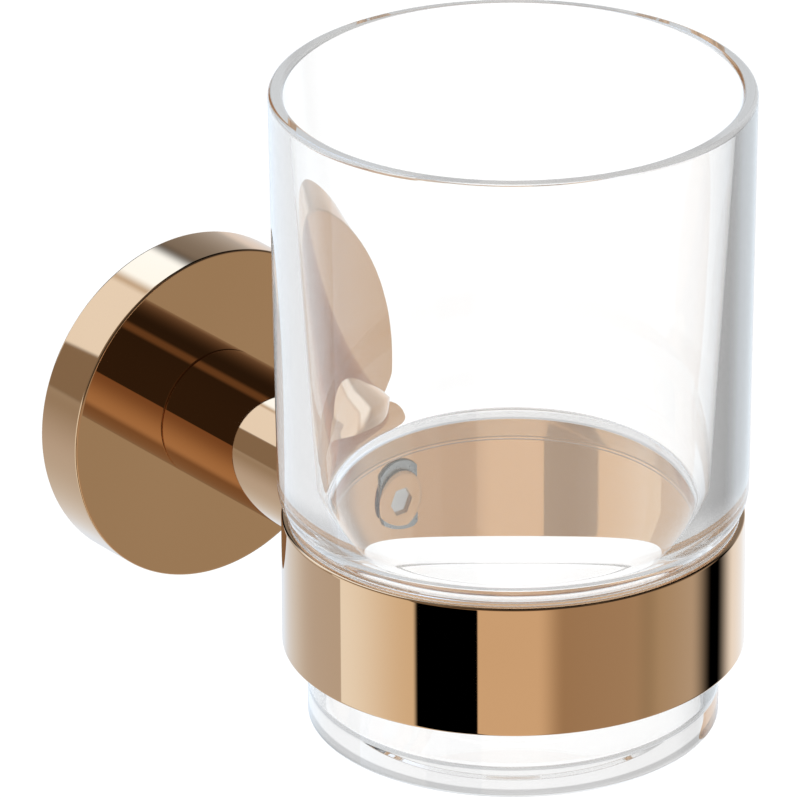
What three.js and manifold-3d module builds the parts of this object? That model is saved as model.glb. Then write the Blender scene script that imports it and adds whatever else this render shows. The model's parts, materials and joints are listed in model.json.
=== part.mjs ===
// Wall tumbler holder: a collar ring on a round arm and a wall rosette, with a stepped glass tumbler.
// Millimetres. The wall is the plane y = 0 and the room is at -Y, +Z is up.
// The origin is the middle of the wall plate's back face, on the arm's axis.
import * as THREE from "three";
import { mergeVertices } from "three/addons/utils/BufferGeometryUtils.js";
import Module from "manifold-3d";

const wasm = await Module();
wasm.setup();

// Driving dimensions
const REACH = 82.35; // wall to the tumbler's axis
const GAP = 0.3; // between a piece and the neighbour that shapes it
const SLIP = 0.1; // radial clearance of a plug in its tube
const BEVEL = 0.4; // on the edges of the ring, arm and rosette

const RING = { outer: 33.65, inner: 31.7, bottom: -9.7, top: 10.4 };
const ARM = { outer: 10.15, inner: 8.1 };
const ROSETTE = { outer: 25.95, inner: 22.4, depth: 9.4, face: 2.2 };

const RIM = { outer: 35, wall: 2.2, z: 76.4, round: 0.7 };
const SHOULDER = { outer: 34.2, wall: 4.8, z: 15.4, round: 5 };
const FOOT = { outer: 30, inner: 27.8, z: -22.9, edgeWide: 11, edgeHigh: 2.3 };
const PUNT = { radius: 14.8, deep: 0.5 }; // the shallow recess under the foot
const CUP_STEP = 12.7; // height of the ledge inside the tumbler
const CUP_CURVE = { z: 21, radius: 40, steepest: 15.5 }; // where the inside curves in to the ledge
const CUP_FLOOR = { z: -18, round: 1.7 }; // the tumbler's inside floor and its rounded corner

const PLATE = { outer: 21, rimInner: 18.6, base: 2, depth: 6.4 };
const WALL_SCREW = { spread: 12, turn: 54, shank: 1.75, head: 3.5, headHigh: 2.4, reach: 21 };
const WALL_PLUG = { start: 2.3, end: 20.8, outer: 2.5, bore: 1.95 };

const REAR_PLUG = { length: 12, bore: 3.15 };
const FRONT_PLUG = { length: 10, bore: 3.15 };
const ARM_SCREW = { shank: 2.95, head: 5, headHigh: 3, reach: 9 };
const ARM_WASHER = { outer: 6, bore: 3.2, thick: 1 };
const ARM_PIN = { radius: 1, offset: 5.6, reach: 5 };
const RING_SCREW = { shank: 2.95, head: 4.6, headHigh: 0.85, socket: 2.3, socketDeep: 0.6, reach: 9 };
const RING_WASHER = { outer: 6, bore: 3.2, thick: 0.4, wide: 7.8 };
const SET_SCREW = { radius: 1.95, y: -4.3, tip: 21.2, tail: 25.2, socket: 1.15, socketDeep: 2 };

const SEAT = { inner: 30.7, skirt: 31.5, flange: 32.9, bottom: 6.7, lip: 10.95 };

const FINE = 64; // sides of the large turned pieces
const COARSE = 24; // sides of the small turned pieces

const material = (color, roughness, metalness, more = {}) =>
  new THREE.MeshStandardMaterial({ color, roughness, metalness, ...more });

const roseGold = () => material(0xd3a37c, 0.08, 1);
const steel = () => material(0xb9bcc0, 0.25, 1);
const zinc = () => material(0x9c9fa3, 0.45, 1);
const nylon = () => material(0xd9d9d2, 0.6, 0);
const glass = () => material(0xf4f7f7, 0.03, 0, { transparent: true, opacity: 0.3 });
const clearPlastic = () => material(0xeef0ee, 0.25, 0, { transparent: true, opacity: 0.5 });

const point = (radius, height) => new THREE.Vector2(radius, height);

// Points on a quarter of an ellipse about (x, y), from one angle to another, in degrees.
function arc(x, y, wide, high, from, to, steps) {
  return Array.from({ length: steps + 1 }, (_, i) => {
    const angle = THREE.MathUtils.degToRad(from + ((to - from) * i) / steps);
    return point(x + wide * Math.cos(angle), y + high * Math.sin(angle));
  });
}

// A turned solid about its Y axis. A closed outline repeats its first point, a solid one ends on the axis.
function turned(outline, sides = FINE) {
  const onAxis = outline[0].x === 0 && outline.at(-1).x === 0;
  const points = onAxis ? outline : [...outline, outline[0].clone()];
  if (THREE.ShapeUtils.area(outline) < 0) points.reverse();
  return new THREE.LatheGeometry(points, sides);
}

// A turned disc or rod from one height to another, with an optional bore and bevelled outer edges.
function disc(radius, from, to, { bore = 0, bevel = 0, sides = COARSE } = {}) {
  return turned(
    [
      point(bore, from),
      point(radius - bevel, from),
      ...(bevel ? [point(radius, from + bevel), point(radius, to - bevel)] : []),
      point(radius - bevel, to),
      point(bore, to),
    ],
    sides,
  );
}

// A prism with a six-sided section about its Y axis, for hexagon sockets.
const hexagon = (cornerRadius, from, to) =>
  new THREE.CylinderGeometry(cornerRadius, cornerRadius, to - from, 6).translate(0, (from + to) / 2, 0);

function solid(geometry) {
  const plain = geometry.clone();
  plain.deleteAttribute("normal");
  plain.deleteAttribute("uv");
  const merged = mergeVertices(plain, 1e-4);
  const vertProperties = merged.attributes.position.array;
  const triVerts = new Uint32Array(merged.index.array);
  return new wasm.Manifold(new wasm.Mesh({ numProp: 3, vertProperties, triVerts }));
}

function geometryOf(made) {
  const mesh = made.getMesh();
  return new THREE.BufferGeometry()
    .setAttribute("position", new THREE.BufferAttribute(new Float32Array(mesh.vertProperties), 3))
    .setIndex(new THREE.BufferAttribute(new Uint32Array(mesh.triVerts), 1));
}

const cut = (geometry, ...tools) =>
  geometryOf(tools.reduce((left, tool) => left.subtract(solid(tool)), solid(geometry)));
const join = (...pieces) =>
  geometryOf(pieces.map(solid).reduce((sum, piece) => sum.add(piece)));
const common = (a, b) => geometryOf(solid(a).intersect(solid(b)));

function mesh(name, geometry, look) {
  const made = new THREE.Mesh(geometry, look);
  made.name = name;
  return made;
}

// An upright cylinder on the tumbler's axis, seen from the arm's frame, that cuts the arm's end.
const tumblerColumn = (radius) =>
  disc(radius, -60, 60, { sides: FINE }).rotateX(Math.PI / 2).translate(0, -REACH, 0);

// ---- Pieces on the wall ----

const wallScrewSpots = () => {
  const turn = THREE.MathUtils.degToRad(WALL_SCREW.turn);
  return [1, -1].map((side) =>
    point(side * WALL_SCREW.spread * Math.cos(turn), side * WALL_SCREW.spread * Math.sin(turn)),
  );
};

function wallPlate() {
  const rimmed = turned([
    point(0, 0),
    point(PLATE.outer, 0),
    point(PLATE.outer, -PLATE.depth + BEVEL),
    point(PLATE.outer - BEVEL, -PLATE.depth),
    point(PLATE.rimInner, -PLATE.depth),
    point(PLATE.rimInner, -PLATE.base),
    point(0, -PLATE.base),
  ]);
  const holes = wallScrewSpots().map((spot) =>
    disc(WALL_SCREW.shank + 0.5, -PLATE.base - 1, 1).translate(spot.x, 0, spot.y),
  );
  return cut(rimmed, ...holes);
}

// A pan-head wood screw along +Y, its cross slot left as a shallow hexagon socket.
function wallScrew() {
  const under = -PLATE.base;
  const body = turned(
    [
      point(0, under - WALL_SCREW.headHigh),
      point(WALL_SCREW.head - 1.2, under - WALL_SCREW.headHigh),
      ...arc(WALL_SCREW.head - 1.2, under - 1.2, 1.2, 1.2, -90, 0, 4),
      point(WALL_SCREW.head, under),
      point(WALL_SCREW.shank, under),
      point(WALL_SCREW.shank, WALL_SCREW.reach - 4),
      point(0, WALL_SCREW.reach),
    ],
    COARSE,
  );
  return cut(body, hexagon(1.5, under - WALL_SCREW.headHigh - 1, under - WALL_SCREW.headHigh + 1.3));
}

const wallPlug = () =>
  turned(
    [
      point(WALL_PLUG.bore, WALL_PLUG.start),
      point(WALL_PLUG.outer, WALL_PLUG.start),
      point(WALL_PLUG.outer, WALL_PLUG.end - 2),
      point(WALL_PLUG.outer - 0.4, WALL_PLUG.end),
      point(WALL_PLUG.bore, WALL_PLUG.end),
    ],
    COARSE,
  );

// ---- Pieces on the arm's axis ----

const armPinSpot = (piece) => piece.translate(0, 0, ARM_PIN.offset);

function rosette() {
  const cup = turned([
    point(ARM_WASHER.bore, -ROSETTE.depth),
    point(ROSETTE.outer - BEVEL, -ROSETTE.depth),
    point(ROSETTE.outer, -ROSETTE.depth + BEVEL),
    point(ROSETTE.outer, -GAP),
    point(ROSETTE.inner, -GAP),
    point(ROSETTE.inner, -ROSETTE.depth + ROSETTE.face),
    point(ARM_WASHER.bore, -ROSETTE.depth + ROSETTE.face),
  ]);
  const faceBack = -ROSETTE.depth + ROSETTE.face;
  const pinHole = armPinSpot(disc(ARM_PIN.radius + SLIP, -ROSETTE.depth - 1, faceBack + 1));
  const setScrewHole = disc(SET_SCREW.radius + SLIP, ROSETTE.inner - 1.5, ROSETTE.outer + 1)
    .rotateX(-Math.PI / 2)
    .translate(0, SET_SCREW.y, 0);
  return cut(cup, pinHole, setScrewHole);
}

function armTube() {
  const far = -REACH + ARM.outer;
  const tube = turned([
    point(ARM.inner, -ROSETTE.depth - 0.05),
    point(ARM.outer - BEVEL, -ROSETTE.depth - 0.05),
    point(ARM.outer, -ROSETTE.depth - 0.05 - BEVEL),
    point(ARM.outer, far),
    point(ARM.inner, far),
  ]);
  return cut(tube, tumblerColumn(RING.outer + GAP));
}

function armRearPlug() {
  const from = -ROSETTE.depth - 0.05;
  const plug = disc(ARM.inner - SLIP, from - REAR_PLUG.length, from, { bore: REAR_PLUG.bore, sides: FINE });
  return cut(plug, armPinSpot(disc(ARM_PIN.radius + SLIP, from - ARM_PIN.reach, from + 1)));
}

function armFrontPlug() {
  const near = -REACH + RING.outer;
  const far = near + FRONT_PLUG.length;
  const plug = disc(ARM.inner - SLIP, near - 5, far, { bore: FRONT_PLUG.bore, sides: FINE });
  return cut(plug, tumblerColumn(RING.outer + GAP));
}

const armWasher = () => {
  const back = -ROSETTE.depth + ROSETTE.face;
  return disc(ARM_WASHER.outer, back + 0.02, back + ARM_WASHER.thick, { bore: ARM_WASHER.bore });
};

function armScrew() {
  const seat = -ROSETTE.depth + ROSETTE.face + ARM_WASHER.thick + 0.02;
  const head = disc(ARM_SCREW.head, seat, seat + ARM_SCREW.headHigh, { bevel: 0.5 });
  const shank = disc(ARM_SCREW.shank, -ROSETTE.depth - ARM_SCREW.reach, seat + 1);
  return cut(join(head, shank), hexagon(2.3, seat + 1.2, seat + ARM_SCREW.headHigh + 1));
}

// The pin sits in blind holes of the rear plug and the rosette's face, behind the washer's edge.
function armPin() {
  const face = -ROSETTE.depth;
  const pin = disc(ARM_PIN.radius, face - ARM_PIN.reach + GAP, face + ROSETTE.face - GAP, { bevel: 0.2 });
  return armPinSpot(pin);
}

// ---- Pieces on the tumbler's axis, with the wall at local -Z ----

// A rod's geometry turned from the tumbler's axis direction to point at the wall.
const towardsWall = (geometry) => geometry.rotateX(-Math.PI / 2);

function holderRing() {
  const band = turned([
    point(RING.inner, RING.bottom + BEVEL),
    point(RING.inner + BEVEL, RING.bottom),
    point(RING.outer - BEVEL, RING.bottom),
    point(RING.outer, RING.bottom + BEVEL),
    point(RING.outer, RING.top - BEVEL),
    point(RING.outer - BEVEL, RING.top),
    point(RING.inner + BEVEL, RING.top),
    point(RING.inner, RING.top - BEVEL),
  ]);
  return cut(band, towardsWall(disc(RING_SCREW.shank + 0.2, RING.inner - 5, RING.outer + 5)));
}

// A round washer bent to the ring's inside, with its left and right edges cut off straight.
function ringWasher() {
  const high = RING_WASHER.outer + 1;
  const inside = RING.inner - SLIP;
  const shell = disc(inside, -high, high, { bore: inside - RING_WASHER.thick, sides: FINE });
  const coin = disc(RING_WASHER.outer, inside - 5, inside + 5, { bore: RING_WASHER.bore });
  const sides = new THREE.BoxGeometry(RING_WASHER.wide, 2 * RING.inner, 2 * RING.outer);
  return common(common(shell, towardsWall(coin)), sides);
}

function ringScrew() {
  const seat = RING.inner - SLIP - RING_WASHER.thick - 0.15;
  const face = seat - RING_SCREW.headHigh;
  const head = disc(RING_SCREW.head, face, RING.inner, { bevel: 0.35 });
  const column = disc(seat, -8, 8, { sides: FINE });
  const shank = disc(RING_SCREW.shank, seat - 0.4, RING.outer + RING_SCREW.reach);
  const screw = join(common(towardsWall(head), column), towardsWall(shank));
  return cut(screw, towardsWall(hexagon(RING_SCREW.socket, face - 1, face + RING_SCREW.socketDeep)));
}

const seatRing = () =>
  turned([
    point(SEAT.inner, SEAT.bottom),
    point(SEAT.skirt, SEAT.bottom),
    point(SEAT.skirt, RING.top + 0.05),
    point(SEAT.flange, RING.top + 0.05),
    point(SEAT.flange, SEAT.lip),
    point(SEAT.flange - 0.6, SEAT.lip),
    point(SEAT.inner, RING.top),
  ]);

// The tumbler's section: down the outside, under the foot, and up the conical inside to the rounded rim.
function tumbler() {
  const rimTop = RIM.z - RIM.round;
  const outside = [
    ...arc(RIM.outer - RIM.round, rimTop, RIM.round, RIM.round, 90, 0, 3),
    point(SHOULDER.outer, SHOULDER.z),
    ...arc(FOOT.outer, SHOULDER.z, SHOULDER.outer - FOOT.outer, SHOULDER.round, -12, -90, 5),
    ...arc(FOOT.outer - FOOT.edgeWide, FOOT.z + FOOT.edgeHigh, FOOT.edgeWide, FOOT.edgeHigh, 0, -90, 6),
    point(PUNT.radius + PUNT.deep, FOOT.z),
    point(PUNT.radius, FOOT.z + PUNT.deep),
    point(0, FOOT.z + PUNT.deep),
  ];
  const upperInner = SHOULDER.outer - SHOULDER.wall;
  const cone = Math.atan((RIM.outer - RIM.wall - upperInner) / (rimTop - CUP_CURVE.z));
  const curveX = upperInner - CUP_CURVE.radius * Math.cos(cone);
  const curveY = CUP_CURVE.z + CUP_CURVE.radius * Math.sin(cone);
  const curveEnd = -THREE.MathUtils.radToDeg(cone);
  const curve = arc(curveX, curveY, CUP_CURVE.radius, CUP_CURVE.radius, -CUP_CURVE.steepest, curveEnd, 4);
  const corner = CUP_FLOOR.round;
  const inside = [
    point(0, CUP_FLOOR.z),
    ...arc(FOOT.inner - corner, CUP_FLOOR.z + corner, corner, corner, -90, 0, 3),
    point(FOOT.inner, CUP_STEP),
    ...curve,
    ...arc(RIM.outer - RIM.wall + RIM.round, rimTop, RIM.round, RIM.round, 180, 90, 2),
  ];
  return turned([...outside, ...inside]);
}

// ---- The set screw, upright under the rosette ----

function setScrew() {
  const screw = disc(SET_SCREW.radius, -SET_SCREW.tail, -SET_SCREW.tip, { bevel: 0.35 });
  return cut(screw, hexagon(SET_SCREW.socket, -SET_SCREW.tail - 1, -SET_SCREW.tail + SET_SCREW.socketDeep));
}

// ---- Assembly ----

const wallGroup = new THREE.Group();
wallGroup.add(mesh("wall_plate", wallPlate(), zinc()));
wallScrewSpots().forEach((spot, i) => {
  const side = ["upper", "lower"][i];
  const screw = mesh("wall_screw_" + side, wallScrew(), steel());
  const plug = mesh("wall_plug_" + side, wallPlug(), nylon());
  [screw, plug].forEach((piece) => piece.position.set(spot.x, 0, spot.y));
  wallGroup.add(screw, plug);
});

const armGroup = new THREE.Group();
armGroup.add(
  mesh("rosette", rosette(), roseGold()),
  mesh("arm_tube", armTube(), roseGold()),
  mesh("arm_rear_plug", armRearPlug(), zinc()),
  mesh("arm_front_plug", armFrontPlug(), zinc()),
  mesh("arm_washer", armWasher(), steel()),
  mesh("arm_screw", armScrew(), steel()),
  mesh("arm_pin", armPin(), steel()),
);

const tumblerGroup = new THREE.Group();
tumblerGroup.position.y = -REACH;
tumblerGroup.rotation.x = Math.PI / 2;
tumblerGroup.add(
  mesh("holder_ring", holderRing(), roseGold()),
  mesh("ring_washer", ringWasher(), steel()),
  mesh("ring_screw", ringScrew(), roseGold()),
  mesh("seat_ring", seatRing(), clearPlastic()),
  mesh("tumbler", tumbler(), glass()),
);

const setScrewGroup = new THREE.Group();
setScrewGroup.position.y = SET_SCREW.y;
setScrewGroup.rotation.x = Math.PI / 2;
setScrewGroup.add(mesh("set_screw", setScrew(), steel()));

const holder = new THREE.Group();
holder.add(wallGroup, armGroup, tumblerGroup, setScrewGroup);
export default holder;
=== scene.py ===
"""Looks of the wall tumbler holder: polished rose-gold ring, arm and rosette, and a stepped glass tumbler.

Sizes in this script are in millimetres and are turned into metres where a mesh is made.
Turned pieces are drawn as outlines of (radius, height) and turned about one of two axes:
the tumbler's upright axis, with heights along +Z, or the arm's axis, with heights along +Y.
"""

import json
import math

import bmesh
import bpy
from mathutils import Matrix, Vector


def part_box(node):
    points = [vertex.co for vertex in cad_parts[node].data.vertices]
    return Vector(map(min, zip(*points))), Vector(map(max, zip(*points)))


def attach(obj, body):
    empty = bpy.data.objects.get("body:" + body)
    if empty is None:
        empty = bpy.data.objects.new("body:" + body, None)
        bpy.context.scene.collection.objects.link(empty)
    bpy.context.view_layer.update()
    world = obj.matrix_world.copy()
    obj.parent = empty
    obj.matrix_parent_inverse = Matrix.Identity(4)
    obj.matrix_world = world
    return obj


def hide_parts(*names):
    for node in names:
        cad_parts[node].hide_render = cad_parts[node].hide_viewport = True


MM = 0.001


# ---- Sizes read from the frame ----


def box_mm(node):
    low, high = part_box(node)
    return low / MM, high / MM


def middle_of(node):
    low, high = box_mm(node)
    return (low + high) / 2


def radius_of(node):
    """Half a round node's width along X, which no joint or cut makes narrower."""
    low, high = box_mm(node)
    return (high.x - low.x) / 2


# ---- Outlines ----


def arc(x, y, wide, high, start, end, steps):
    """Points on an ellipse about (x, y), between two angles in degrees."""
    angles = [math.radians(start + (end - start) * i / steps) for i in range(steps + 1)]
    return [(x + wide * math.cos(a), y + high * math.sin(a)) for a in angles]


def rounded(points, radius, steps=4):
    """A closed outline with each corner turned into a small round of that radius."""
    result = []
    count = len(points)
    for i, corner in enumerate(points):
        here = Vector(corner)
        before = (Vector(points[i - 1]) - here).normalized()
        after = (Vector(points[(i + 1) % count]) - here).normalized()
        for step in range(steps + 1):
            t = step / steps
            start = here + before * radius
            end = here + after * radius
            spot = start * (1 - t) ** 2 + here * (2 * t * (1 - t)) + end * t * t
            result.append((spot.x, spot.y))
    return result


# ---- Mesh making ----


def thread_cut(height, angle, thread):
    """How much a helical thread takes off the radius at this height and angle."""
    start, end, depth, pitch = thread
    if not start < height < end:
        return 0.0
    fade = min(1.0, (height - start) / pitch, (end - height) / pitch)
    phase = (height / pitch + angle / (2 * math.pi)) % 1.0
    return depth * fade * (1 - abs(2 * phase - 1))


def turned_mesh(name, outline, segments, thread=None):
    """A closed mesh turned about Z. An outline that leaves the axis closes on itself."""
    made = bmesh.new()
    on_axis = outline[0][0] == 0
    rows = []
    for radius, height in outline:
        if radius == 0:
            rows.append([made.verts.new((0, 0, height * MM))])
            continue
        row = []
        for i in range(segments):
            angle = 2 * math.pi * i / segments
            r = radius - (thread_cut(height, angle, thread) if thread else 0)
            row.append(made.verts.new((r * math.cos(angle) * MM, r * math.sin(angle) * MM, height * MM)))
        rows.append(row)
    pairs = list(zip(rows, rows[1:])) + ([] if on_axis else [(rows[-1], rows[0])])
    for low, high in pairs:
        for i in range(segments):
            j = (i + 1) % segments
            corners = [low[i % len(low)], low[j % len(low)], high[j % len(high)], high[i % len(high)]]
            face = list(dict.fromkeys(corners))
            if len(face) > 2:
                made.faces.new(face)
    bmesh.ops.recalc_face_normals(made, faces=made.faces)
    mesh = bpy.data.meshes.new(name)
    made.to_mesh(mesh)
    made.free()
    return mesh


def dense(outline, step):
    """The outline with long stretches split, so that a thread has rows to follow."""
    result = []
    for (r0, h0), (r1, h1) in zip(outline, outline[1:]):
        count = max(1, math.ceil(abs(h1 - h0) / step))
        for i in range(count):
            t = i / count
            result.append((r0 + (r1 - r0) * t, h0 + (h1 - h0) * t))
    return result + [outline[-1]]


def add_object(name, mesh):
    made = bpy.data.objects.new(name, mesh)
    bpy.context.scene.collection.objects.link(made)
    return made


def turned(name, outline, segments=192, thread=None):
    return add_object(name, turned_mesh(name, outline, segments, thread))


def rod(name, radius, low, high, segments=48):
    """A plain tool for cutting: a cylinder, or a prism with few segments."""
    return turned(name, [(0, low), (radius, low), (radius, high), (0, high)], segments)


def block(name, size):
    """A plain box tool about the origin."""
    made = bmesh.new()
    bmesh.ops.create_cube(made, size=MM)
    bmesh.ops.scale(made, vec=Vector(size), verts=made.verts)
    mesh = bpy.data.meshes.new(name)
    made.to_mesh(mesh)
    made.free()
    return add_object(name, mesh)


def place(made, turn=None, at=(0, 0, 0)):
    """Moves a mesh's own points, at in millimetres, and leaves its object at the origin."""
    if turn is not None:
        made.data.transform(turn)
    made.data.transform(Matrix.Translation(Vector(at) * MM))
    return made


def cut(made, *tools, how="DIFFERENCE"):
    """Cuts the tools out of a piece, or joins or intersects them with it, and removes them."""
    for tool in tools:
        modifier = made.modifiers.new("cut", "BOOLEAN")
        modifier.operation = how
        modifier.solver = "EXACT"
        modifier.object = tool
        bpy.context.view_layer.update()
        evaluated = made.evaluated_get(bpy.context.evaluated_depsgraph_get())
        mesh = bpy.data.meshes.new_from_object(evaluated)
        made.modifiers.clear()
        made.data = mesh
        bpy.data.objects.remove(tool)
    return made


SHARP_ANGLE = 32  # degrees between two faces from which their edge stays sharp
FLAT_FACE_WEIGHT = 90  # above 50, large faces count for more in the normals at their corners


def polish(made):
    """Smooth shading that keeps flat faces flat and sharp edges sharp."""
    made.data.shade_smooth()
    made.data.set_sharp_from_angle(angle=math.radians(SHARP_ANGLE))
    weighted = made.modifiers.new("flat faces first", "WEIGHTED_NORMAL")
    weighted.keep_sharp = True
    weighted.weight = FLAT_FACE_WEIGHT
    return made


UPRIGHT = Matrix.Identity(4)
ALONG_ARM = Matrix.Rotation(-math.pi / 2, 4, "X")  # heights along +Z become heights along +Y


# ---- Materials ----


def principled(name):
    made = bpy.data.materials.new(name)
    made.use_nodes = True
    nodes = made.node_tree.nodes
    return made, nodes, made.node_tree.links, nodes["Principled BSDF"]


def noise(nodes, links, scale, detail, stretch=(1, 1, 1)):
    """A noise texture in object space, in steps of 1/scale metres, stretched along the axes."""
    where = nodes.new("ShaderNodeTexCoord")
    mapping = nodes.new("ShaderNodeMapping")
    mapping.inputs["Scale"].default_value = stretch
    texture = nodes.new("ShaderNodeTexNoise")
    texture.inputs["Scale"].default_value = scale
    texture.inputs["Detail"].default_value = detail
    links.new(where.outputs["Object"], mapping.inputs["Vector"])
    links.new(mapping.outputs["Vector"], texture.inputs["Vector"])
    return texture.outputs["Fac"]


def ranged(nodes, links, value, low, high):
    """A 0 to 1 value mapped to a range."""
    made = nodes.new("ShaderNodeMapRange")
    made.inputs["From Min"].default_value = 0.3
    made.inputs["From Max"].default_value = 0.7
    made.inputs["To Min"].default_value = low
    made.inputs["To Max"].default_value = high
    links.new(value, made.inputs["Value"])
    return made.outputs["Result"]


def tinted(nodes, links, value, dark, light):
    """A colour between two, by a 0 to 1 value."""
    ramp = nodes.new("ShaderNodeValToRGB")
    ramp.color_ramp.elements[0].position = 0.35
    ramp.color_ramp.elements[0].color = (*dark, 1)
    ramp.color_ramp.elements[1].position = 0.65
    ramp.color_ramp.elements[1].color = (*light, 1)
    links.new(value, ramp.inputs["Fac"])
    return ramp.outputs["Color"]


def bumped(nodes, links, value, strength, distance):
    made = nodes.new("ShaderNodeBump")
    made.inputs["Strength"].default_value = strength
    made.inputs["Distance"].default_value = distance
    links.new(value, made.inputs["Height"])
    return made.outputs["Normal"]


def rose_gold():
    """Mirror-polished plating: nearly even in colour, with faint broad patches in its gloss."""
    made, nodes, links, shader = principled("rose_gold")
    patches = noise(nodes, links, 40, 1)
    plating = tinted(nodes, links, patches, (0.715, 0.462, 0.274), (0.73, 0.475, 0.285))
    links.new(plating, shader.inputs["Base Color"])
    shader.inputs["Metallic"].default_value = 1
    haze = noise(nodes, links, 60, 1)
    links.new(ranged(nodes, links, haze, 0.02, 0.035), shader.inputs["Roughness"])
    return made


def clear_glass():
    """Clear glass with a very faint milkiness, and a tint too faint to see except in its thick foot."""
    made, nodes, links, shader = principled("glass")
    ripple = noise(nodes, links, 40, 1, (1, 1, 0.3))
    tint = tinted(nodes, links, ripple, (0.994, 0.997, 0.997), (1, 1, 1))
    links.new(tint, shader.inputs["Base Color"])
    shader.inputs["Roughness"].default_value = 0.0
    shader.inputs["IOR"].default_value = 1.5
    shader.inputs["Transmission Weight"].default_value = 0.975
    return made


def metal(name, colour, rough, grain_stretch):
    """Plain worked metal with a fine grain along its turning or drawing."""
    made, nodes, links, shader = principled(name)
    grain = noise(nodes, links, 900, 4, grain_stretch)
    dark = tuple(c * 0.9 for c in colour)
    links.new(tinted(nodes, links, grain, dark, colour), shader.inputs["Base Color"])
    shader.inputs["Metallic"].default_value = 1
    links.new(ranged(nodes, links, grain, rough * 0.8, rough * 1.2), shader.inputs["Roughness"])
    links.new(bumped(nodes, links, grain, 0.15, 0.00005), shader.inputs["Normal"])
    return made


def moulded_nylon():
    """Grey nylon with a fine mottle, which lets a little light in."""
    made, nodes, links, shader = principled("nylon")
    mottle = noise(nodes, links, 500, 4)
    grey = tinted(nodes, links, mottle, (0.5, 0.52, 0.5), (0.56, 0.58, 0.55))
    links.new(grey, shader.inputs["Base Color"])
    links.new(ranged(nodes, links, mottle, 0.42, 0.58), shader.inputs["Roughness"])
    links.new(bumped(nodes, links, mottle, 0.2, 0.0001), shader.inputs["Normal"])
    shader.inputs["Subsurface Weight"].default_value = 0.1
    shader.inputs["Subsurface Radius"].default_value = (0.001, 0.001, 0.001)
    return made


def clear_plastic():
    """Soft clear plastic, a little duller and yellower than the glass."""
    made, nodes, links, shader = principled("clear_plastic")
    haze = noise(nodes, links, 120, 2)
    tint = tinted(nodes, links, haze, (0.97, 0.97, 0.96), (0.99, 0.99, 0.985))
    links.new(tint, shader.inputs["Base Color"])
    links.new(ranged(nodes, links, haze, 0.02, 0.05), shader.inputs["Roughness"])
    shader.inputs["IOR"].default_value = 1.47
    shader.inputs["Transmission Weight"].default_value = 1.0
    return made


# ---- The pieces ----

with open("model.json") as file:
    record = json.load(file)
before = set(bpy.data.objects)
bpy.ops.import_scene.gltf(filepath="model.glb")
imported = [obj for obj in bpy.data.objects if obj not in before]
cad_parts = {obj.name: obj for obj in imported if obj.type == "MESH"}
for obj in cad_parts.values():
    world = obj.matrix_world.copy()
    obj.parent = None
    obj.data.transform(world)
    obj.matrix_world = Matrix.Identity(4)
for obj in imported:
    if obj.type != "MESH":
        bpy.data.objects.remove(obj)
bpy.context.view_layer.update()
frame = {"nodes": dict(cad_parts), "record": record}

tumbler_low, tumbler_high = box_mm("tumbler")
ring_low, ring_high = box_mm("holder_ring")
rosette_low, rosette_high = box_mm("rosette")
plate_low, plate_high = box_mm("wall_plate")
tumbler_axis = (0, (tumbler_low.y + tumbler_high.y) / 2, 0)

# Thicknesses and inner shapes that a node's box doesn't give, as in the CAD model.
RING_WALL = 1.95
ROSETTE_WALL = 3.55
ROSETTE_FACE = 2.2
ARM_WALL = 2.05
FOOT_RADIUS = 30.0
FOOT_INSIDE = 27.8
SHOULDER_RADIUS = 34.2
SHOULDER_INSIDE = 29.4
SHOULDER_HEIGHT = 15.4
SHOULDER_ROUND = 5.0
CURVE_HEIGHT = 21.0  # where the conical inside starts to curve in to the ledge
CURVE_RADIUS = 40.0
CURVE_STEEPEST = 15.5  # degrees from upright, where it meets the ledge
RIM_WALL = 2.2
RIM_ROUND = 0.7
PUNT_RADIUS = 14.8  # the shallow round recess under the foot
PUNT_HEIGHT = 0.5
EDGE_WIDE = 11.0  # the foot's rounded lower edge
EDGE_HIGH = 2.3
LEDGE_HEIGHT = 12.7
LEDGE_ROUND = 0.3
FLOOR_HEIGHT = -18.0
FLOOR_ROUND = 1.7

# The rounding of the polished edges.
RING_EDGE = 0.35
ROSETTE_EDGE = 0.42
ARM_EDGE = 0.28

# The two M6 screws that hold the arm, and their washers.
BOLT_SHANK = 2.95
BOLT_THREAD = (0.5, 1.0)  # depth and pitch
BOLT_HOLE = 3.2
WASHER_RADIUS = 6.0
RING_HOLE = 3.15
HEX_SOCKET = 2.3  # to a corner
RING_SOCKET_DEEP = 0.6
ARM_SOCKET_DEEP = 1.8
RING_WASHER_WIDE = 7.8  # between its straight sides
RING_WASHER_THICK = 0.4

# The wall screws and their holes in the plate.
WALL_HEAD_HIGH = 2.4
WALL_HEAD_ROUND = 1.2
WALL_THREAD = (0.5, 1.4)
PLATE_HOLE = 2.25
PLATE_BASE = 2.0
PLATE_RIM = 2.4

# The set screw.
SET_THREAD = (0.28, 0.7)
SET_SOCKET = 1.15
SET_SOCKET_DEEP = 2.0
SET_CLEARANCE = 0.08

LOOKS = {
    "rose_gold": rose_gold(),
    "glass": clear_glass(),
    "steel": metal("steel", (0.66, 0.67, 0.69), 0.2, (1, 1, 1)),
    "dull_steel": metal("dull_steel", (0.36, 0.39, 0.41), 0.3, (1, 1, 1)),
    "zinc": metal("zinc", (0.58, 0.565, 0.545), 0.35, (1, 0.1, 1)),
    "nylon": moulded_nylon(),
    "clear_plastic": clear_plastic(),
}


def finish_piece(piece, body, slot, *nodes, look=None):
    """Gives a piece its material and the body that it rides on, and hides the CAD nodes that it stands
    for.
    """
    piece.data.materials.clear()
    piece.data.materials.append(LOOKS[look or slot])
    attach(piece, body)
    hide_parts(*nodes)
    return piece


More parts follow.
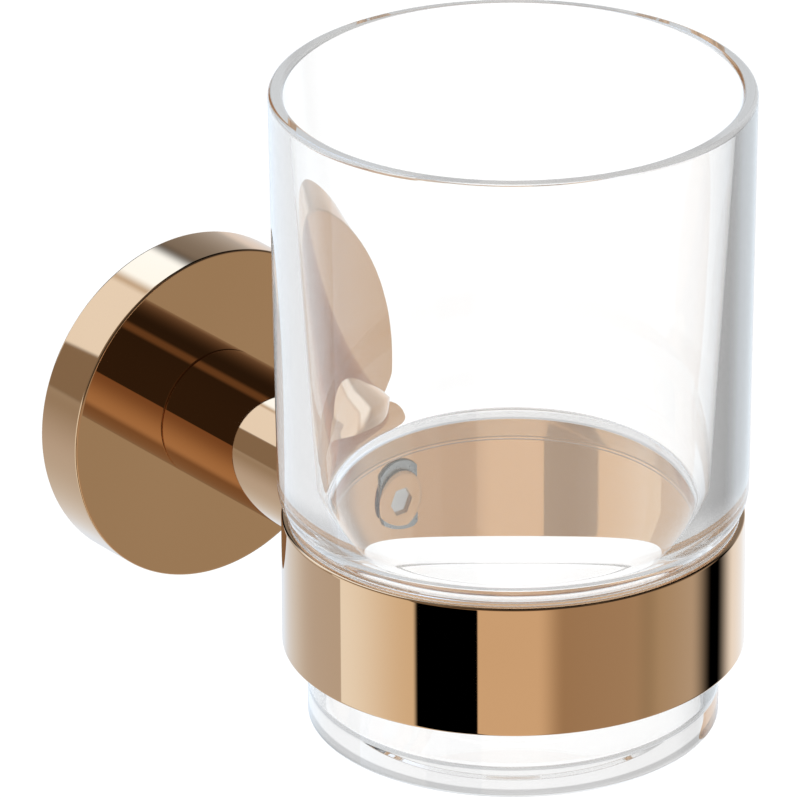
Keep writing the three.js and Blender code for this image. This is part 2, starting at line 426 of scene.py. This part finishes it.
def make_tumbler():
    """A straight-sided cup whose thick wall narrows upwards inside, over a smaller round foot."""
    top = tumbler_high.z
    bottom = tumbler_low.z
    wide = radius_of("tumbler")
    inside = wide - RIM_WALL
    cone = math.atan2(inside - SHOULDER_INSIDE, top - RIM_ROUND - CURVE_HEIGHT)
    curve = arc(
        SHOULDER_INSIDE - CURVE_RADIUS * math.cos(cone), CURVE_HEIGHT + CURVE_RADIUS * math.sin(cone),
        CURVE_RADIUS, CURVE_RADIUS, -math.degrees(cone), -CURVE_STEEPEST, 16,
    )
    curve += [(curve[-1][0] - 0.1, LEDGE_HEIGHT + 0.1), (curve[-1][0] - LEDGE_ROUND, LEDGE_HEIGHT)]
    outline = [
        (0, bottom + PUNT_HEIGHT),
        (PUNT_RADIUS - 0.2, bottom + PUNT_HEIGHT),
        (PUNT_RADIUS, bottom + PUNT_HEIGHT - 0.1),
        (PUNT_RADIUS + 0.4, bottom + 0.1),
        (PUNT_RADIUS + 0.6, bottom),
        *arc(FOOT_RADIUS - EDGE_WIDE, bottom + EDGE_HIGH, EDGE_WIDE, EDGE_HIGH, -90, 0, 20),
        *arc(FOOT_RADIUS, SHOULDER_HEIGHT, SHOULDER_RADIUS - FOOT_RADIUS, SHOULDER_ROUND, -90, 0, 16),
        *arc(wide - RIM_ROUND, top - RIM_ROUND, RIM_ROUND, RIM_ROUND, 0, 90, 8),
        *arc(inside + RIM_ROUND, top - RIM_ROUND, RIM_ROUND, RIM_ROUND, 90, 180, 8),
        *curve,
        *arc(FOOT_INSIDE + LEDGE_ROUND, LEDGE_HEIGHT - LEDGE_ROUND, LEDGE_ROUND, LEDGE_ROUND, 90, 180, 4),
        *arc(FOOT_INSIDE - FLOOR_ROUND, FLOOR_HEIGHT + FLOOR_ROUND, FLOOR_ROUND, FLOOR_ROUND, 0, -90, 10),
        (0, FLOOR_HEIGHT),
    ]
    piece = place(turned("tumbler_glass", outline, 256), UPRIGHT, tumbler_axis)
    polish(piece)
    piece.visible_glossy = False  # keeps its inner reflections clean, and out of the mirrors
    finish_piece(piece, "tumbler", "glass", "tumbler")


def make_ring():
    """A plain band with softly rounded edges and one hole towards the arm."""
    outer = radius_of("holder_ring")
    inner = outer - RING_WALL
    band = [(inner, ring_low.z), (outer, ring_low.z), (outer, ring_high.z), (inner, ring_high.z)]
    piece = place(turned("collar_ring", rounded(band, RING_EDGE), 256), UPRIGHT, tumbler_axis)
    hole = place(rod("ring_hole", RING_HOLE, -4, 4), ALONG_ARM, (0, tumbler_axis[1] + inner + 1, 0))
    polish(cut(piece, hole))
    piece.visible_glossy = False  # the tumbler's foot would show it as a brown haze
    finish_piece(piece, "holder", "rose_gold", "holder_ring")


def make_rosette():
    """A shallow round cup, open to the wall, with a hole for the arm's screw and one for the set screw."""
    outer = radius_of("rosette")
    front = rosette_low.y
    back = rosette_high.y
    cup = [
        (BOLT_HOLE, front),
        (outer, front),
        (outer, back),
        (outer - ROSETTE_WALL, back),
        (outer - ROSETTE_WALL, front + ROSETTE_FACE),
        (BOLT_HOLE, front + ROSETTE_FACE),
    ]
    piece = place(turned("rosette_cover", rounded(cup, ROSETTE_EDGE, 6), 256), ALONG_ARM)
    screw_low, screw_high = box_mm("set_screw")
    screw_y = (screw_low.y + screw_high.y) / 2
    hole = rod("set_screw_hole", radius_of("set_screw") + SET_CLEARANCE, -3, 6)
    polish(cut(piece, place(hole, UPRIGHT, (0, screw_y, screw_low.z))))
    finish_piece(piece, "holder", "rose_gold", "rosette")


def make_arm():
    """A straight tube from the rosette's face, its other end cut to the ring's curve."""
    outer = radius_of("arm_tube")
    root = rosette_low.y - 0.04
    tip = tumbler_axis[1] + 20  # inside the ring, before the cut
    tube = [(outer - ARM_WALL, tip), (outer, tip), (outer, root), (outer - ARM_WALL, root)]
    piece = place(turned("arm", rounded(tube, ARM_EDGE, 5), 256), ALONG_ARM)
    ring_space = rod("ring_space", radius_of("holder_ring") - 0.02, -30, 30, 256)
    polish(cut(piece, place(ring_space, UPRIGHT, tumbler_axis)))
    finish_piece(piece, "holder", "rose_gold", "arm_tube")


# Hidden fixings: threads run down to a little less than their nodes' radius.


def make_wall_plate():
    """A round dish with a raised rim, which the set screw grips, and two screw holes."""
    outer = radius_of("wall_plate")
    front = plate_low.y
    back = plate_high.y
    dish = [
        (0, back),
        (outer, back),
        (outer, front),
        (outer - PLATE_RIM, front),
        (outer - PLATE_RIM, back - PLATE_BASE),
        (0, back - PLATE_BASE),
    ]
    corners = rounded(dish, 0.3)[5:-5]  # without those on the axis
    piece = place(turned("wall_plate_disc", [dish[0], *corners, dish[-1]], 192), ALONG_ARM)
    for name in ("wall_screw_upper", "wall_screw_lower"):
        spot = middle_of(name)
        hole = rod("screw_hole", PLATE_HOLE, -PLATE_BASE - 1, 1)
        cut(piece, place(hole, ALONG_ARM, (spot.x, 0, spot.z)))
    finish_piece(polish(piece), "wall", "zinc", "wall_plate")


def make_wall_screws():
    """Pan-head wood screws with a cross recess, in serrated and slotted nylon plugs."""
    for side in ("upper", "lower"):
        node = "wall_screw_" + side
        low, high = box_mm(node)
        spot = middle_of(node)
        head = radius_of(node)
        shank = head / 2
        under = low.y + WALL_HEAD_HIGH
        flat = head - WALL_HEAD_ROUND
        outline = dense([
            (0, low.y),
            (flat, low.y),
            *arc(flat, under - WALL_HEAD_ROUND, WALL_HEAD_ROUND, WALL_HEAD_ROUND, -90, 0, 8),
            (head, under),
            (shank, under),
            (shank, high.y - 4),
            (0, high.y),
        ], 0.14)
        thread = (under + 1, high.y - 1.6, *WALL_THREAD)
        piece = place(turned(node + "_threaded", outline, 40, thread), ALONG_ARM)
        for turn in (0, 90):
            bar = block("recess", (3.6, 0.85, 3.0))
            bar.data.transform(Matrix.Rotation(math.radians(turn + 20), 4, "Z"))
            cut(piece, place(bar, ALONG_ARM, (0, low.y, 0)))
        place(piece, None, (spot.x, 0, spot.z))
        finish_piece(polish(piece), "wall", "steel", node)
        make_wall_plug("wall_plug_" + side)


def make_wall_plug(node):
    """A plug with ring-shaped teeth and a slot from a plain collar to its tip."""
    low, high = box_mm(node)
    spot = middle_of(node)
    outer = radius_of(node)
    bore = outer - 0.55
    collar = 3.0
    tooth = 1.5
    deep = 0.3
    outline = [(bore, low.y), (outer, low.y), (outer, low.y + collar)]
    height = low.y + collar
    while height < high.y - collar:
        outline += [(outer - deep, height + 0.2), (outer - deep, height + 0.7), (outer, height + tooth)]
        height += tooth
    outline += [(outer - 0.4, high.y), (bore, high.y)]
    piece = place(turned(node + "_serrated", outline, 64), ALONG_ARM)
    slot = block("slot", (8, 0.6, 24))
    slot_start = low.y + 4
    cut(piece, place(slot, ALONG_ARM, (0, slot_start + 12, 0)))
    place(piece, None, (spot.x, 0, spot.z))
    finish_piece(polish(piece), "wall", "nylon", node)


def make_arm_screw():
    """A cap screw with a hexagon socket, through the washer and the rosette's face."""
    low, high = box_mm("arm_screw")
    head = radius_of("arm_screw")
    under = high.y - 3
    outline = dense([
        (0, low.y),
        (BOLT_SHANK - 0.6, low.y),
        (BOLT_SHANK, low.y + 0.6),
        (BOLT_SHANK, under),
        (head, under),
        (head, high.y - 0.5),
        *arc(head - 0.5, high.y - 0.5, 0.5, 0.5, 0, 90, 4)[1:],
        (0, high.y),
    ], 0.12)
    thread = (low.y - 1, under - 2.5, *BOLT_THREAD)
    piece = place(turned("arm_screw_threaded", outline, 64, thread), ALONG_ARM)
    cut(piece, place(rod("socket", HEX_SOCKET, -ARM_SOCKET_DEEP, 1, 6), ALONG_ARM, (0, high.y, 0)))
    finish_piece(polish(piece), "holder", "steel", "arm_screw")

    low, high = box_mm("arm_washer")
    ring = [(BOLT_HOLE, low.y), (WASHER_RADIUS, low.y), (WASHER_RADIUS, high.y), (BOLT_HOLE, high.y)]
    washer = place(turned("arm_washer_disc", rounded(ring, 0.15, 3), 96), ALONG_ARM)
    finish_piece(polish(washer), "holder", "steel", "arm_washer")


def make_ring_screw():
    """A low domed screw with a hexagon socket, and its bent washer with straight sides."""
    low, high = box_mm("ring_screw")
    ring_outside = radius_of("holder_ring")
    ring_inside = ring_outside - RING_WALL
    column = ring_inside - 0.65
    head = radius_of("ring_screw")
    slope = 2.2
    rise = 0.45
    dome = [
        (0, low.y),
        (head - slope, low.y),
        *arc(head - slope, low.y + rise, slope, rise, -90, 0, 8)[1:],
        (head, low.y + 2),
        (0, low.y + 2),
    ]
    piece = place(turned("ring_screw_domed", dome, 96), ALONG_ARM)
    cut(piece, place(rod("column", column, -9, 9, 256), UPRIGHT, tumbler_axis), how="INTERSECT")
    bolt = dense([
        (0, low.y + 0.5),
        (BOLT_SHANK, low.y + 0.5),
        (BOLT_SHANK, high.y - 0.6),
        (BOLT_SHANK - 0.6, high.y),
        (0, high.y),
    ], 0.12)
    thread = (tumbler_axis[1] + ring_outside + 0.4, high.y + 1, *BOLT_THREAD)
    cut(piece, place(turned("bolt", bolt, 64, thread), ALONG_ARM), how="UNION")
    cut(piece, place(rod("socket", HEX_SOCKET, -1, RING_SOCKET_DEEP, 6), ALONG_ARM, (0, low.y, 0)))
    finish_piece(polish(piece), "holder", "rose_gold", "ring_screw")
    piece.data.materials.append(LOOKS["steel"])  # the plating doesn't reach into the socket
    for face in piece.data.polygons:
        x, y, z = face.center / MM
        if math.hypot(x, z) < HEX_SOCKET and low.y + 0.1 < y < low.y + RING_SOCKET_DEEP + 0.1:
            face.material_index = 1

    outer = ring_inside - 0.1
    inner = outer - RING_WASHER_THICK
    shell = [(inner, -8), (outer, -8), (outer, 8), (inner, 8)]
    washer = place(turned("ring_washer_bent", shell, 256), UPRIGHT, tumbler_axis)
    coin = [(BOLT_HOLE, 26), (WASHER_RADIUS, 26), (WASHER_RADIUS, 36), (BOLT_HOLE, 36)]
    cut(washer, place(turned("coin", coin, 96), ALONG_ARM, tumbler_axis), how="INTERSECT")
    cut(washer, block("washer_sides", (RING_WASHER_WIDE, 200, 40)), how="INTERSECT")
    finish_piece(polish(washer), "holder", "steel", "ring_washer", look="dull_steel")


def make_seat_ring():
    """The clear plastic sleeve between the glass and the ring, with a flange on the ring's top."""
    low, high = box_mm("seat_ring")
    flange = radius_of("seat_ring")
    inner = flange - 2.2
    skirt = inner + 0.8
    ring_top = ring_high.z
    section = [
        (inner, low.z),
        (skirt, low.z),
        (skirt, ring_top + 0.05),
        (flange, ring_top + 0.05),
        (flange, high.z),
        (flange - 0.6, high.z),
        (inner, ring_top),
    ]
    piece = place(turned("seat_sleeve", rounded(section, 0.08, 2), 256), UPRIGHT, tumbler_axis)
    finish_piece(polish(piece), "holder", "clear_plastic", "seat_ring")


def make_set_screw():
    """A grub screw with a hexagon socket below and a cup point above."""
    low, high = box_mm("set_screw")
    spot = middle_of("set_screw")
    radius = radius_of("set_screw")
    outline = dense([
        (0, low.z),
        (radius - 0.35, low.z),
        (radius, low.z + 0.35),
        (radius, high.z - 0.7),
        (radius - 0.6, high.z),
        (radius - 0.9, high.z),
        (0, high.z - 0.5),
    ], 0.08)
    thread = (low.z - 0.2, high.z - 0.5, *SET_THREAD)
    piece = place(turned("grub_screw", outline, 48, thread), UPRIGHT)
    cut(piece, place(rod("socket", SET_SOCKET, -1, SET_SOCKET_DEEP, 6), UPRIGHT, (0, 0, low.z)))
    place(piece, None, (spot.x, spot.y, 0))
    finish_piece(polish(piece), "set_screw", "steel", "set_screw")


def make_all():
    """Every piece, and a material on each CAD node, some of which stay as they are."""
    make_tumbler()
    make_ring()
    make_rosette()
    make_arm()
    make_wall_plate()
    make_wall_screws()
    make_arm_screw()
    make_ring_screw()
    make_seat_ring()
    make_set_screw()
    for node, obj in frame["nodes"].items():
        slot = next(s["material_slot"] for s in frame["record"]["subparts"] if s["node"] == node)
        obj.data.materials.clear()
        obj.data.materials.append(LOOKS[slot])


# ---- Studio ----

PLAIN_LIGHT = 1.18  # what straight light sees, and light that only the glass has bent

# Soft cards round the holder, which mirrors see. Each has a span of azimuths and one of elevations,
# in degrees, the softness of its left edge, of its right edge and of its lower and upper edges, and
# two colours with the direction in which the first turns into the second.
SEAM = 200  # the azimuth where the bearings start, between two cards
TURN_WITHIN = 35  # colours that turn upwards do so between this elevation below and above level
TWICE_MIRRORED = 0.74  # how much of the cards two mirrors in a row show
CARDS = [
    ((200, 345), (1, 90), (0.01, 10, 1.5), (0.07, 0.06, 0.05), (0.05, 0.045, 0.04), "across"),
    ((296, 345), (-12, 90), (16, 10, 10), (0.32, 0.28, 0.24), (0.05, 0.045, 0.04), "up"),
    ((272, 284), (37, 46), (8, 8, 4), (0.3, 0.24, 0.18), (0.3, 0.24, 0.18), "across"),
    ((200, 214.8), (-15, 0.5), (0.01, 0.8, 8), (0.3, 0.23, 0.16), (0.42, 0.32, 0.22), "across"),
    ((542.5, 560), (-15, 0.5), (8, 0.01, 8), (0.2, 0.18, 0.15), (0.3, 0.23, 0.16), "across"),
    ((214.8, 304), (-90, 0.5), (1, 20, 1.5), (0.42, 0.32, 0.22), (0.48, 0.41, 0.33), "across"),
    ((300, 340), (-90, -8), (24, 18, 20), (0.5, 0.45, 0.36), (0.6, 0.6, 0.59), "across"),
    ((214.8, 251), (-90, 0.5), (1, 15, 1.5), (0.9, 0.81, 0.67), (0.45, 0.33, 0.24), "up"),
    ((365, 424), (-90, 34), (20, 10, 12), (1.08, 1.2, 1.31), (0.26, 0.27, 0.28), "up"),
    ((412, 496.5), (-90, 0), (8, 1, 4), (0.94, 1.12, 1.32), (0.62, 0.66, 0.69), "across"),
    ((402, 420), (-90, 2), (12, 24, 8), (0.95, 0.97, 1.0), (0.72, 0.72, 0.72), "across"),
    ((465, 496.5), (-30, 2), (26, 1, 20), (0.64, 0.68, 0.74), (0.38, 0.35, 0.3), "up"),
    ((487, 560), (0, 90), (1, 8, 2), (0.31, 0.27, 0.22), (0.2, 0.18, 0.15), "across"),
    ((440, 456), (30, 64), (4, 4, 6), (0.72, 0.74, 0.74), (0.72, 0.74, 0.74), "across"),
    ((454, 487), (8, 64), (5, 1, 4), (1.1, 1.3, 1.55), (1.1, 1.3, 1.55), "across"),
    ((424, 449), (33, 60), (10, 8, 6), (1.4, 2.0, 2.9), (1.4, 2.0, 2.9), "across"),
    ((496.5, 542.5), (-90, 6), (0.8, 3, 6), (1.08, 1.28, 1.5), (0.86, 0.83, 0.73), "across"),
]

# White light that has only been bent by the glass: on the wall's side it comes from a white backdrop
# in grey surroundings, and elsewhere it is white.
BACKDROP = ((372, 462), (-80, 20), 40)  # azimuths, elevations and softness
WALL_SIDE = ((338, 520), 20)  # azimuths and softness
GREY_RIGHT = (0.44, 0.44, 0.44)
GREY_LEFT = (0.84, 0.84, 0.84)
GREY_TURN = (375, 445)  # the azimuths over which the right grey turns into the left one

# Light that was totally reflected in the glass: levels of grey, each laid over the one before it.
# Each level has its elevations and the softness of its lower and upper edges.
GREY_ELSEWHERE = (0.62, 0.62, 0.62)
GREY_LEVEL = ((-30, 8), (8, 4))
STRIP_LIGHT = (0.98, 0.98, 0.98)
STRIP_LEVEL = ((14.3, 24), (1.5, 2))
LIGHT_ABOVE = (0.92, 0.92, 0.92)
ABOVE_LEVEL = ((42, 90), (12, 1))

# How much of the cards shows, over those greys and over plain white, where glass is on the way.
CARDS_IN_GLASS = 0.08
CARDS_THROUGH_GLASS = 0.55


def math_node(nodes, links, operation, *values):
    made = nodes.new("ShaderNodeMath")
    made.operation = operation
    for socket, value in zip(made.inputs, values):
        if isinstance(value, (int, float)):
            socket.default_value = value
        else:
            links.new(value, socket)
    return made.outputs["Value"]


def step_up(nodes, links, value, start, end):
    """0 below start, 1 above end, and a smooth rise between."""
    made = nodes.new("ShaderNodeMapRange")
    made.interpolation_type = "SMOOTHSTEP"
    made.inputs["From Min"].default_value = start
    made.inputs["From Max"].default_value = end
    links.new(value, made.inputs["Value"])
    return made.outputs["Result"]


def between(nodes, links, value, span, softness):
    """1 where the value lies in the span, with soft edges."""
    low, high = span
    above = step_up(nodes, links, value, low - softness[0] / 2, low + softness[0] / 2)
    below = step_up(nodes, links, value, high + softness[1] / 2, high - softness[1] / 2)
    return math_node(nodes, links, "MULTIPLY", above, below)


def mixed(nodes, links, factor, first, second):
    """The first colour where the factor is 0, the second where it is 1. Each is a socket or a tuple."""
    made = nodes.new("ShaderNodeMix")
    made.data_type = "RGBA"
    links.new(factor, made.inputs["Factor"])
    for socket, colour in (("A", first), ("B", second)):
        if isinstance(colour, tuple):
            made.inputs[socket].default_value = (*colour, 1)
        else:
            links.new(colour, made.inputs[socket])
    return made.outputs["Result"]


def background(nodes, links, colour, strength=1.0):
    """Light of a colour and a strength: each is a socket or plain numbers."""
    made = nodes.new("ShaderNodeBackground")
    if isinstance(strength, float):
        made.inputs["Strength"].default_value = strength
    else:
        links.new(strength, made.inputs["Strength"])
    if isinstance(colour, tuple):
        made.inputs["Color"].default_value = (*colour, 1)
    else:
        links.new(colour, made.inputs["Color"])
    return made.outputs["Background"]


def mix_shaders(nodes, links, factor, first, second):
    made = nodes.new("ShaderNodeMixShader")
    if isinstance(factor, float):
        made.inputs["Fac"].default_value = factor
    else:
        links.new(factor, made.inputs["Fac"])
    links.new(first, made.inputs[1])
    links.new(second, made.inputs[2])
    return made.outputs["Shader"]


def bearing_and_elevation(nodes, links):
    """The world direction's azimuth, counted from SEAM, and its elevation, both in degrees."""
    where = nodes.new("ShaderNodeTexCoord")
    parts = nodes.new("ShaderNodeSeparateXYZ")
    links.new(where.outputs["Generated"], parts.inputs["Vector"])
    turn = math_node(nodes, links, "ARCTAN2", parts.outputs["Y"], parts.outputs["X"])
    azimuth = math_node(nodes, links, "MULTIPLY", turn, 180 / math.pi)
    from_seam = math_node(nodes, links, "SUBTRACT", azimuth, SEAM)
    bearing = math_node(nodes, links, "WRAP", from_seam, 360, 0)
    rise = math_node(nodes, links, "ARCSINE", parts.outputs["Z"])
    elevation = math_node(nodes, links, "MULTIPLY", rise, 180 / math.pi)
    return bearing, elevation


def from_the_seam(azimuths):
    return tuple(azimuth - SEAM for azimuth in azimuths)


def card_colours(nodes, links, bearing, elevation):
    """Black, with the cards laid over it in turn."""
    colour = (0.0, 0.0, 0.0)
    for azimuths, elevations, (left, right, upright), first, second, way in CARDS:
        low, high = elevations
        across = from_the_seam(azimuths)
        upwards = (max(low, -TURN_WITHIN), min(high, TURN_WITHIN))
        run, span = (bearing, across) if way == "across" else (elevation, upwards)
        tone = mixed(nodes, links, step_up(nodes, links, run, *span), first, second)
        mask = math_node(
            nodes, links, "MULTIPLY",
            between(nodes, links, bearing, across, (left, right)),
            between(nodes, links, elevation, elevations, (upright, upright)),
        )
        colour = mixed(nodes, links, mask, colour, tone)
    return colour


def side_grey(nodes, links, bearing):
    """The darker grey on the right, turning into the lighter one on the left."""
    leftwards = step_up(nodes, links, bearing, *from_the_seam(GREY_TURN))
    return mixed(nodes, links, leftwards, GREY_RIGHT, GREY_LEFT)


def totally_reflected(nodes, links, elevation, grey):
    """The levels of grey, for light that was totally reflected in the glass."""
    levels = ((GREY_LEVEL, grey), (STRIP_LEVEL, STRIP_LIGHT), (ABOVE_LEVEL, LIGHT_ABOVE))
    colour = GREY_ELSEWHERE
    for (span, softness), light in levels:
        colour = mixed(nodes, links, between(nodes, links, elevation, span, softness), colour, light)
    return background(nodes, links, colour)


def bent_by_glass(nodes, links, bearing, elevation, grey, plain):
    """The backdrop in its grey surroundings on the wall's side, and white elsewhere."""
    azimuths, elevations, softness = BACKDROP
    behind = math_node(
        nodes, links, "MULTIPLY",
        between(nodes, links, bearing, from_the_seam(azimuths), (softness, softness)),
        between(nodes, links, elevation, elevations, (softness, softness)),
    )
    framed = mix_shaders(nodes, links, behind, background(nodes, links, grey), plain)
    azimuths, softness = WALL_SIDE
    wall_side = between(nodes, links, bearing, from_the_seam(azimuths), (softness, softness))
    return mix_shaders(nodes, links, wall_side, plain, framed)


def make_world():
    """A white studio, in which straight, mirrored and bent light each see surroundings of their own."""
    world = bpy.data.worlds.new("studio")
    bpy.context.scene.world = world
    world.use_nodes = True
    nodes, links = world.node_tree.nodes, world.node_tree.links
    nodes.clear()
    bearing, elevation = bearing_and_elevation(nodes, links)

    paths = nodes.new("ShaderNodeLightPath")
    mirrors = paths.outputs["Glossy Depth"]
    surfaces = paths.outputs["Transmission Depth"]
    mirrored = math_node(nodes, links, "GREATER_THAN", mirrors, 0.5)
    twice = math_node(nodes, links, "GREATER_THAN", mirrors, 1.5)
    glass = math_node(nodes, links, "GREATER_THAN", surfaces, 0.5)
    inside = math_node(nodes, links, "MODULO", surfaces, 2)  # in through one more surface than out

    plain = background(nodes, links, (1.0, 1.0, 1.0), PLAIN_LIGHT)
    loss = math_node(nodes, links, "MULTIPLY", twice, 1 - TWICE_MIRRORED)
    strength = math_node(nodes, links, "SUBTRACT", 1, loss)
    cards = background(nodes, links, card_colours(nodes, links, bearing, elevation), strength)
    grey = side_grey(nodes, links, bearing)

    in_glass = mix_shaders(
        nodes, links, CARDS_IN_GLASS, totally_reflected(nodes, links, elevation, grey), cards,
    )
    through_glass = mix_shaders(nodes, links, CARDS_THROUGH_GLASS, plain, cards)
    dimmed = mix_shaders(nodes, links, inside, through_glass, in_glass)
    reflected = mix_shaders(nodes, links, glass, cards, dimmed)
    bent = bent_by_glass(nodes, links, bearing, elevation, grey, plain)
    straight = mix_shaders(nodes, links, glass, plain, bent)
    seen = mix_shaders(nodes, links, mirrored, straight, reflected)
    out = nodes.new("ShaderNodeOutputWorld")
    links.new(seen, out.inputs["Surface"])


FLOOR_HALF_WIDTH = 30  # metres
FLOOR_DEPTH = 6  # metres down, below any camera that looks up at the holder


def make_floor():
    """A wide pale floor, which neither mirrors nor glass see."""
    made = bmesh.new()
    bmesh.ops.create_grid(made, x_segments=8, y_segments=8, size=FLOOR_HALF_WIDTH)
    mesh = bpy.data.meshes.new("floor")
    made.to_mesh(mesh)
    made.free()
    floor = add_object("floor", mesh)
    floor.location.z = -FLOOR_DEPTH
    look, nodes, links, shader = principled("floor")
    pale = tinted(nodes, links, noise(nodes, links, 2, 2), (0.9, 0.9, 0.9), (0.92, 0.92, 0.92))
    links.new(pale, shader.inputs["Base Color"])
    shader.inputs["Roughness"].default_value = 1
    mesh.materials.append(look)
    floor.visible_glossy = False
    floor.visible_transmission = False


CAMERA_PLACE = (-0.823905, -1.14558, 0.629598)  # metres
CAMERA_TURN = -37.783  # degrees from facing the wall
CAMERA_DOWN = 24.098
CAMERA_PAN = 0.6442  # a little to one side in its own frame
LENS = 459.403  # millimetres
SENSOR = 36


def make_camera():
    """A long lens, looking down at the holder from its front left."""
    data = bpy.data.cameras.new("camera")
    data.sensor_width = SENSOR
    data.lens = LENS
    data.clip_start = 0.05
    data.clip_end = 50
    camera = bpy.data.objects.new("camera", data)
    bpy.context.scene.collection.objects.link(camera)
    turn = Matrix.Rotation(math.radians(CAMERA_TURN), 4, "Z")
    tilt = Matrix.Rotation(math.radians(90 - CAMERA_DOWN), 4, "X")
    pan = Matrix.Rotation(math.radians(CAMERA_PAN), 4, "Y")
    camera.matrix_world = Matrix.Translation(CAMERA_PLACE) @ turn @ tilt @ pan
    bpy.context.scene.camera = camera


def set_light_paths():
    """Plain colours, and enough bounces for light to find its way through the glass's thick foot."""
    scene = bpy.context.scene
    scene.view_settings.view_transform = "Standard"
    scene.view_settings.look = "None"
    scene.cycles.max_bounces = 24
    scene.cycles.transmission_bounces = 24
    scene.cycles.glossy_bounces = 12
    scene.cycles.transparent_max_bounces = 24
    scene.cycles.caustics_reflective = True
    scene.cycles.caustics_refractive = True


make_all()
make_world()
make_floor()
make_camera()
set_light_paths()

bpy.context.view_layer.update()
